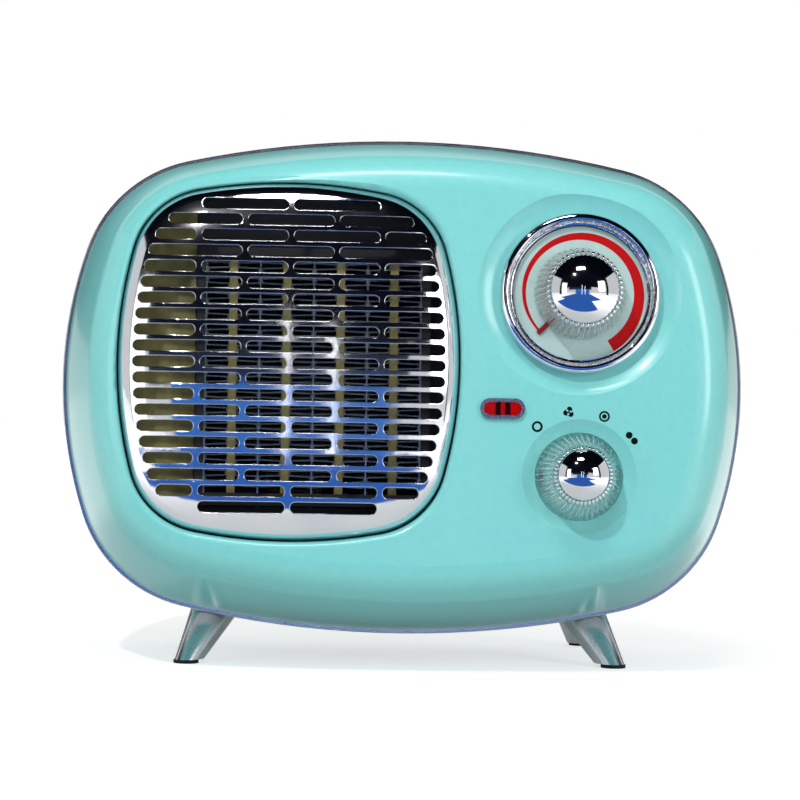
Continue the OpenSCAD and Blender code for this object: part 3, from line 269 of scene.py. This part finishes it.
def weave(material, spacing, relief, way, dark=None):
    """
    Ridges over a material, at a spacing and height in millimetres, across one or two axes.
    With a second colour, the valleys between them are painted darker, as shade in the grooves.
    """
    tree, skin, colour, under = shader(material)
    place = add(tree, "ShaderNodeTexCoord")
    # At a scale of 1 the wave comes back every pi/10 metres.
    scale = 1000*math.pi/10/spacing
    for axis in way:
        rows = add(tree, "ShaderNodeTexWave",
                   {"Vector": place.outputs["Object"], "Scale": scale, "Distortion": 0.3},
                   bands_direction=axis)
        under = add(tree, "ShaderNodeBump",
                    {"Height": rows.outputs["Fac"], "Distance": relief/1000,
                     "Normal": under}).outputs[0]
        if dark:
            colour = add(tree, "ShaderNodeMix",
                         {"Factor": rows.outputs["Fac"], 6: linear(dark), 7: colour},
                         data_type="RGBA").outputs[2]
            tree.links.new(colour, skin.inputs["Base Color"])
    tree.links.new(under, skin.inputs["Normal"])


# Nylon net: threads every 0.8 mm, drawn at 1.2 mm so that they show.
# The gaps between the threads are painted near black, as shade.
dust_net = surface("black_nylon_net", "101010", "1A1A1A", 2.0, (0.7, 0.9), 0.05, IOR=1.53)
weave(dust_net, 1.2, 0.3, "XZ", dark="020202")
dress(dust_net, "intake_filter")

# Nylon mouldings: a fine spark-eroded grain, matt.
black_nylon = surface("black_moulded_nylon", "0E0E0F", "17181A", 0.8, (0.45, 0.6), 0.02,
                      IOR=1.53)
white_nylon = surface("white_moulded_nylon", "E4E3DC", "D8D7CF", 0.8, (0.4, 0.55), 0.02,
                      IOR=1.53)
dress(black_nylon, "cord_gland")
dress(white_nylon, "terminal_block")


# ---------------------------------------------------------------------------
# Duct behind the grille: dark heat-proof nylon, moulded, screwed to the front shell. A loose
# sheet of mica lies on its floor beside the element.
# ---------------------------------------------------------------------------
# Heat-proof nylon: charcoal, with a matt grain of about 1 mm.
duct_nylon = surface("charcoal_heat_proof_nylon", "1C1F20", "25282A", 1.0, (0.5, 0.65), 0.03,
                     IOR=1.53)
dress(duct_nylon, "air_duct")

# Mica: olive flakes pressed with resin, each about 6 mm, with a dull pearly gloss.
pressed_mica = surface("pressed_mica", "6E6B38", "8F8B50", 6.0, (0.45, 0.7), 0.08, IOR=1.58)
dress(pressed_mica, "mica_panel")


# ---------------------------------------------------------------------------
# Heating element: bars of barium titanate ceramic between folded aluminium fins and contact
# plates, in a black frame. The cut-out and the fuse sit beside it.
# ---------------------------------------------------------------------------
# Nylon filled with glass: black, matt and slightly rough to the eye.
element_frame = surface("black_glass_filled_nylon", "0A0A0B", "121213", 1.0, (0.5, 0.65), 0.03,
                        IOR=1.53)
dress(element_frame, "ptc_frame")

# Unglazed ceramic, stained by its glue: chalky, with pores of about 1 mm.
titanate = surface("unglazed_titanate_ceramic", "807C4C", "96905F", 1.4, (0.75, 0.9), 0.06, IOR=1.6)
dress(titanate, "ptc_bars")

# Rolled aluminium strip: rolling lines every 0.5 mm across the airflow.
fin_strip = surface("rolled_aluminium_strip", "A4A9A6", "7E8481", 2.2, (0.28, 0.45), 0.02,
                    Metallic=1.0)
weave(fin_strip, 0.5, 0.01, "Z")
dress(fin_strip, "ptc_fins")

# Stamped and tinned strip: paler and smoother than the fins.
contact_strip = surface("tinned_contact_strip", "C6CCCB", "AEB5B3", 4.0, (0.22, 0.35), 0.02,
                        Metallic=1.0)
dress(contact_strip, "ptc_contacts")

# Bakelite, dark brown and polished by its mould. The fuse's can is tinned and a little dull.
bakelite = surface("brown_bakelite", "2E1A10", "3E2416", 1.2, (0.3, 0.42), 0.02, IOR=1.6)
tinned_can = surface("tinned_brass_can", "C2BFB4", "A9A69B", 3.0, (0.25, 0.4), 0.02, Metallic=1.0)
dress(bakelite, "thermal_cutout")
dress(tinned_can, "thermal_fuse")


# ---------------------------------------------------------------------------
# Fan: a moulded wheel of natural nylon, pushed onto the shaft of a shaded-pole motor. It turns
# in a ring of black nylon behind the element.
# ---------------------------------------------------------------------------
# Natural nylon: milky, and it lets a little light through.
fan_nylon = surface("natural_nylon", "C9C7B8", "BDBBAB", 5.0, (0.4, 0.5), 0.02, IOR=1.53,
                    Subsurface_Weight=0.05)
dress(black_nylon, "fan_shroud")
dress(fan_nylon, "fan_impeller")

# Ground steel: grinding lines every 0.2 mm round the shaft, drawn at 0.4 mm.
ground_steel = surface("ground_steel", "B9BABC", "A6A8AA", 3.0, (0.2, 0.3), 0.01, Metallic=1.0)
weave(ground_steel, 0.4, 0.01, "Y")
dress(ground_steel, "motor_shaft", "thermostat_shaft", "switch_shaft")

# Stacked sheets of silicon steel, 0.5 mm each, blued and lightly rusted on their edges.
silicon_steel = surface("stacked_silicon_steel", "4A4E54", "5B4A40", 4.0, (0.4, 0.6), 0.03,
                        Metallic=0.8)
# The dark lines between the sheets are partly their joints and partly painted shade.
weave(silicon_steel, 0.5, 0.08, "Y", dark="1E2023")
dress(silicon_steel, "motor_stator")

# The rotor's cage is cast round its steel sheets: grey and pitted.
rotor_cage = surface("cast_rotor_cage", "8D8F92", "77797C", 1.5, (0.4, 0.55), 0.04, Metallic=0.9)
dress(rotor_cage, "motor_rotor")

# Enamelled copper wire of 0.4 mm, wound in layers, drawn at 0.6 mm.
enamelled_wire = surface("enamelled_copper_wire", "8A3F1C", "A65526", 2.0, (0.25, 0.35), 0.02,
                         Metallic=0.7, Coat_Weight=0.4)
# The grooves between the turns are painted dark, as shade.
weave(enamelled_wire, 0.6, 0.2, "Z", dark="3A170A")
dress(enamelled_wire, "motor_coil")

# Sintered bronze, soaked in oil: brown, dull and porous.
sintered_bronze = surface("sintered_bronze", "8C6A35", "A37D42", 0.6, (0.45, 0.6), 0.03,
                          Metallic=1.0)
dress(sintered_bronze, "motor_bearings")

# Zinc plating: pale blue-grey spangles about 5 mm across.
zinc_plate = surface("zinc_plated_steel", "B4B9BF", "9BA2AA", 5.0, (0.28, 0.42), 0.02, Metallic=1.0)
dress(zinc_plate, "motor_brackets", "motor_screws", "control_screws", "leg_screws", "case_screws",
      "duct_screws")


# ---------------------------------------------------------------------------
# Grille: one thin ABS moulding with twenty rows of slots, chromed, gently crowned so that
# each bar mirrors a different part of the room.
# ---------------------------------------------------------------------------
# Chrome over ABS: a slow ripple about 30 mm across, edges that the plating rounds over 0.5 mm,
# and a crown with a radius of 0.42 m.
grille_chrome = surface("crowned_chrome_grille", "E4E6EA", "DADDE2", 30.0, (0.07, 0.11), 0.15,
                        Metallic=1.0)
crown_radius = 0.42
edge_radius = 0.0005
tree, skin, _, ripple = shader(grille_chrome)
rounded = add(tree, "ShaderNodeBevel", {"Radius": edge_radius}, samples=6)
tree.links.new(rounded.outputs[0], ripple.node.inputs["Normal"])
low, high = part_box("outlet_grille")
middle = (Vector(low) + Vector(high))/2
place = add(tree, "ShaderNodeTexCoord")
offset = add(tree, "ShaderNodeVectorMath", {0: place.outputs["Object"], 1: middle},
             operation="SUBTRACT")
flat = add(tree, "ShaderNodeVectorMath", {0: offset.outputs[0], 1: (1, 0, 1)},
           operation="MULTIPLY")
square = add(tree, "ShaderNodeVectorMath", {0: flat.outputs[0], 1: flat.outputs[0]},
             operation="DOT_PRODUCT")
sag = add(tree, "ShaderNodeMath", {0: square.outputs["Value"], 1: -0.5/crown_radius},
          operation="MULTIPLY")
crown = add(tree, "ShaderNodeBump",
            {"Height": sag.outputs[0], "Distance": 1.0, "Normal": ripple})
tree.links.new(crown.outputs[0], skin.inputs["Normal"])
dress(grille_chrome, "outlet_grille")


# ---------------------------------------------------------------------------
# Dial: a bezel of chromed ABS round a pale plate that the temperature scale is printed on,
# both set in the dish of the front shell. The bezel's inner step is finely serrated.
# ---------------------------------------------------------------------------
def on_shaft(joint):
    """The frame of a knob: x to the right, y up its face, z out along the shaft, in metres."""
    j = next(j for j in frame["joints"] if j["name"] == joint)
    out = -Vector(j["axis"]).normalized()
    right = Vector((1, 0, 0))
    turned = Matrix((right, out.cross(right), out)).transposed().to_4x4()
    return Matrix.Translation(j["pos_m"]) @ turned


def piece(name, mesh, place, body, slot, *materials):
    """Puts a mesh, built in millimetres, into the scene as one piece on a body."""
    mesh.normal_update()
    data = bpy.data.meshes.new(name)
    mesh.transform(place @ Matrix.Scale(0.001, 4))
    mesh.to_mesh(data)
    mesh.free()
    for material in materials:
        data.materials.append(material)
    made = bpy.data.objects.new(name, data)
    bpy.context.scene.collection.objects.link(made)
    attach(made, body)


def strip(mesh, inner, outer, back, front, closed=False, index=0):
    """A flat band between two rows of points, from a back to a front height."""
    rows = [[mesh.verts.new((x, y, z)) for x, y in row]
            for row, z in ((inner, back), (outer, back), (outer, front), (inner, front))]
    count = len(inner)
    for i in range(count if closed else count - 1):
        j = (i + 1) % count
        for k in range(4):
            a, b = rows[k], rows[(k + 1) % 4]
            mesh.faces.new((a[i], b[i], b[j], a[j])).material_index = index
    if not closed:
        mesh.faces.new([row[0] for row in rows]).material_index = index
        mesh.faces.new([row[-1] for row in reversed(rows)]).material_index = index


# Chrome over ABS, buffed: a near mirror, with slight smears and the plating's faint ripple.
bright_chrome = surface("bright_chrome_plate", "E2E4E8", "D6D9DE", 14.0, (0.03, 0.08), 0.02,
                        Metallic=1.0)
dress(bright_chrome, "dial_bezel")
dial = on_shaft("thermostat_turn")
low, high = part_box("dial_bezel")
bezel_r = 500*(high[0] - low[0])

# The plate's face lies 1 mm under the knob's foot. A print is sunk 0.05 mm into its ground.
plate_face = -1.0
print_bite = 0.05

# Plate: ABS moulded in pale grey-green, satin.
plate_abs = surface("pale_green_satin_abs", "AECBC8", "B6D1CE", 4.0, (0.35, 0.45), 0.02, IOR=1.52)
dress(plate_abs, "dial_plate")

# Scale: red ink, screen printed, which grows wider from the lowest setting to the highest.
red_ink = surface("red_screen_ink", "C00408", "B40207", 2.0, (0.4, 0.5), 0.01, IOR=1.5,
                  Specular_IOR_Level=0.15)
scale_start = math.radians(224)
scale_turn = math.radians(283)
scale_r = bezel_r - 10.7
scale_narrow, scale_wide = 0.9, 5.1
scale_ink = 0.06
scale_steps = 120
scale_inner, scale_outer = [], []
for i in range(scale_steps + 1):
    along = i/scale_steps
    angle = scale_start - scale_turn*along
    far = scale_r + scale_narrow + (scale_wide - scale_narrow)*along
    scale_inner.append((scale_r*math.cos(angle), scale_r*math.sin(angle)))
    scale_outer.append((far*math.cos(angle), far*math.sin(angle)))
mesh = bmesh.new()
strip(mesh, scale_inner, scale_outer, plate_face - print_bite, plate_face + scale_ink)
piece("temperature_scale", mesh, dial, "case", "pointer_red", red_ink)

# Serrated ring: radial ridges on the bezel's inner step, plated with it. Each corner of its
# section has a radius, a height over the plate, and its share of a ridge's height.
ridges = 132
ridge_h = 0.55
section = ((bezel_r - 5.05, 0.15, 0), (bezel_r - 4.9, 1.35, 0.5),
           (bezel_r - 3.1, 1.9, 1), (bezel_r - 2.9, 1.3, 0))
mesh = bmesh.new()
rows = [[] for corner in section]
for i in range(2*ridges):
    angle = math.pi*i/ridges
    for row, (r, height, share) in zip(rows, section):
        z = plate_face + height + share*ridge_h*(i % 2)
        row.append(mesh.verts.new((r*math.cos(angle), r*math.sin(angle), z)))
for i in range(2*ridges):
    j = (i + 1) % (2*ridges)
    for a, b in zip(rows, rows[1:] + rows[:1]):
        mesh.faces.new((a[i], b[i], b[j], a[j]))
piece("bezel_serration", mesh, dial, "case", "bezel_chrome", bright_chrome)


# ---------------------------------------------------------------------------
# Knobs: both are clear acrylic, cast with 44 flutes, and pushed onto their shafts. A chromed
# cap is pressed into each, and the upper one has a red pointer under it.
# ---------------------------------------------------------------------------
# Acrylic: as clear as glass, with a faint tint. The pointer is dark red ABS with a soft gloss.
acrylic = surface("clear_cast_acrylic", "FFFFFF", "F4FBFB", 20.0, (0.015, 0.04), 0.01, IOR=1.49,
                  Transmission_Weight=1.0)
pointer_abs = surface("dark_red_abs", "7C1018", "8A141C", 2.0, (0.25, 0.35), 0.01, IOR=1.52)
dress(acrylic, "thermostat_knob", "mode_knob")
dress(bright_chrome, "thermostat_cap", "mode_cap")
dress(pointer_abs, "thermostat_pointer")
flutes = 44
lobe_flatness = 0.65


def beads(body, gap, height, wide, long):
    """
    Between its flutes a knob ends in silvered lobes, which lie on its chamfer all round the
    cap: their gap to the cap, their height over the knob's foot, and their half width and
    half length.
    """
    place = on_shaft(body + "_turn")
    low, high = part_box(body + "_cap")
    ring = 1000*(high[0] - place.translation.x) + gap
    tilted = (Matrix.Translation((ring, 0, height)) @ Matrix.Rotation(math.pi/4, 4, "Y")
              @ Matrix.Diagonal((long, wide, lobe_flatness*wide, 1)))
    mesh = bmesh.new()
    for i in range(flutes):
        round_cap = Matrix.Rotation(2*math.pi*(i + 0.5)/flutes, 4, "Z")
        bmesh.ops.create_uvsphere(mesh, u_segments=14, v_segments=10, radius=1.0,
                                  matrix=round_cap @ tilted)
    for side in mesh.faces:
        side.smooth = True
    piece(body + "_beads", mesh, place, body, "cap_chrome", bright_chrome)


beads("thermostat", gap=1.1, height=16.4, wide=0.82, long=1.1)
beads("mode", gap=1.2, height=17.5, wide=0.64, long=1.3)


# ---------------------------------------------------------------------------
# Thermostat and switch: two bought controls, clamped behind the panel by their screws. Their
# bodies are moulded in cream nylon.
# ---------------------------------------------------------------------------
cream_nylon = surface("cream_moulded_nylon", "D9D2B8", "CFC7AC", 0.8, (0.4, 0.55), 0.02,
                      IOR=1.53)
dress(cream_nylon, "thermostat_body", "switch_body")


# ---------------------------------------------------------------------------
# Mode marks: black ink, pad printed on the lacquer round the lower knob. Off, fan alone,
# low heat, high heat.
# ---------------------------------------------------------------------------
mode = on_shaft("mode_turn")
marks_r = 26.7
# The panel's face, over the foot of the knob in its well.
panel_face = 3.8

# Ink: flat black, with hardly any shine. One print is 0.05 mm thick, and where shapes overlap
# each lies 3 micrometres over the last. A bare hole is lacquer again, just over them all.
mark_ink = 0.05
overlap = 0.003
hole_top = 0.08
black_ink = surface("black_pad_ink", "080808", "101010", 2.0, (0.4, 0.55), 0.01, IOR=1.5,
                    Specular_IOR_Level=0.1)


def around(count, r, first=0, middle=(0, 0)):
    """Points evenly round a middle, from a first angle in degrees."""
    angles = [math.radians(first + 360*i/count) for i in range(count)]
    return [(middle[0] + r*math.cos(a), middle[1] + r*math.sin(a)) for a in angles]


def ring(mesh, middle, inner, outer, height=mark_ink, index=0):
    """A printed ring on the panel."""
    strip(mesh, around(48, inner, 0, middle), around(48, outer, 0, middle),
          panel_face - print_bite, panel_face + height, True, index)


def mark(name, angle, rings=(), discs=(), holes=()):
    """
    One mark at an angle round the knob: (middle, inner, outer) rings, (middle, radius) discs
    and (middle, radius) bare holes. A disc is a ring with a pinhole.
    """
    pinhole = 0.02
    mesh = bmesh.new()
    for middle, inner, outer in rings:
        ring(mesh, middle, inner, outer)
    for i, (middle, r) in enumerate(discs):
        ring(mesh, middle, pinhole, r, mark_ink + overlap*i)
    for middle, r in holes:
        ring(mesh, middle, pinhole, r, hole_top, 1)
    x, y = around(1, marks_r/1000, angle)[0]
    piece(name, mesh, mode @ Matrix.Translation((x, y, 0)), "case", "case_plastic", black_ink,
          lacquered_abs)


hub = (0, 0)
mark("mark_off", 131, rings=[(hub, 1.35, 2.25)])
mark("mark_fan", 100, discs=[(p, 1.15) for p in around(3, 1.15, 75)] + [(hub, 1.2)],
     holes=[(p, 0.42) for p in around(3, 0.82, 15)])
mark("mark_low", 68, rings=[(hub, 1.5, 2.25)], discs=[(hub, 0.95)])
mark("mark_high", 37, discs=[(p, 1.4) for p in around(2, 1.6, 133)])


# ---------------------------------------------------------------------------
# Pilot lamp: a neon tube with two nickel electrodes, behind a clear red lens. The lens and its
# chromed rim are moulded, and the rim is clipped into the panel.
# ---------------------------------------------------------------------------
# Chrome over matt ABS: it mirrors only broad light and dark.
rim_chrome = surface("satin_chrome_rim", "B4B7BC", "A6A9AF", 5.0, (0.22, 0.32), 0.02,
                     Metallic=1.0)
dress(rim_chrome, "lamp_bezel")

# Glass, drawn into a tube: clear. Nickel wire: nearly black.
tube_glass = surface("neon_tube_glass", "F6F4F0", "EEECE8", 8.0, (0.02, 0.05), 0.01, IOR=1.5,
                     Transmission_Weight=0.95)
dark_nickel = surface("dark_nickel_wire", "1A1716", "262220", 1.0, (0.4, 0.55), 0.02,
                      Metallic=0.6)
dress(tube_glass, "neon_lamp")
dress(dark_nickel, "lamp_electrodes")

# Polycarbonate: deep clear red. Painted shade of the two electrodes behind it darkens two stripes,
# each from 1.1 to 2.8 mm off the middle, fading out over about half a millimetre.
red_lens = surface("clear_red_polycarbonate", "D8060A", "C80408", 6.0, (0.04, 0.08), 0.01,
                   IOR=1.58, Transmission_Weight=0.45)
near_fade, bar_near, bar_far, far_fade = 0.0006, 0.0011, 0.0028, 0.0034
low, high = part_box("lamp_lens")
tree, skin, colour, _ = shader(red_lens)
place = add(tree, "ShaderNodeTexCoord")
apart = add(tree, "ShaderNodeSeparateXYZ", {0: place.outputs["Object"]})
aside = add(tree, "ShaderNodeMath", {0: apart.outputs["X"], 1: (low[0] + high[0])/2},
            operation="SUBTRACT")
aside = add(tree, "ShaderNodeMath", {0: aside.outputs[0]}, operation="ABSOLUTE")
inner = add(tree, "ShaderNodeMapRange",
            {"Value": aside.outputs[0], "From Min": near_fade, "From Max": bar_near})
outer = add(tree, "ShaderNodeMapRange",
            {"Value": aside.outputs[0], "From Min": far_fade, "From Max": bar_far})
electrode_shade = add(tree, "ShaderNodeMath", {0: inner.outputs[0], 1: outer.outputs[0]},
           operation="MULTIPLY")
# The painted shade of the electrodes, in dark red, mixed into the lens colour.
lens_with_painted_shade = add(tree, "ShaderNodeMix",
             {"Factor": electrode_shade.outputs[0], 6: colour, 7: linear("2A0306")}, data_type="RGBA")
tree.links.new(lens_with_painted_shade.outputs[2], skin.inputs["Base Color"])
dress(red_lens, "lamp_lens")


# ---------------------------------------------------------------------------
# Legs: turned tapered legs, chromed, each held by a screw from inside the rear shell, with
# a black rubber pad pushed into its foot.
# ---------------------------------------------------------------------------
# Chrome over turned metal: the lathe's fine marks soften what the legs mirror.
leg_chrome = surface("chromed_turned_leg", "E2E4E8", "CDD1D7", 9.0, (0.22, 0.30), 0.01,
                     Metallic=1.0)
dress(leg_chrome, "leg_front_left", "leg_front_right", "leg_rear_left", "leg_rear_right")

# Moulded rubber, dusty black, with a grain of about 0.7 mm.
rubber = surface("black_moulded_rubber", "0C0C0C", "171717", 0.7, (0.75, 0.9), 0.04, IOR=1.52)
dress(rubber, "pad_front_left", "pad_front_right", "pad_rear_left", "pad_rear_right")
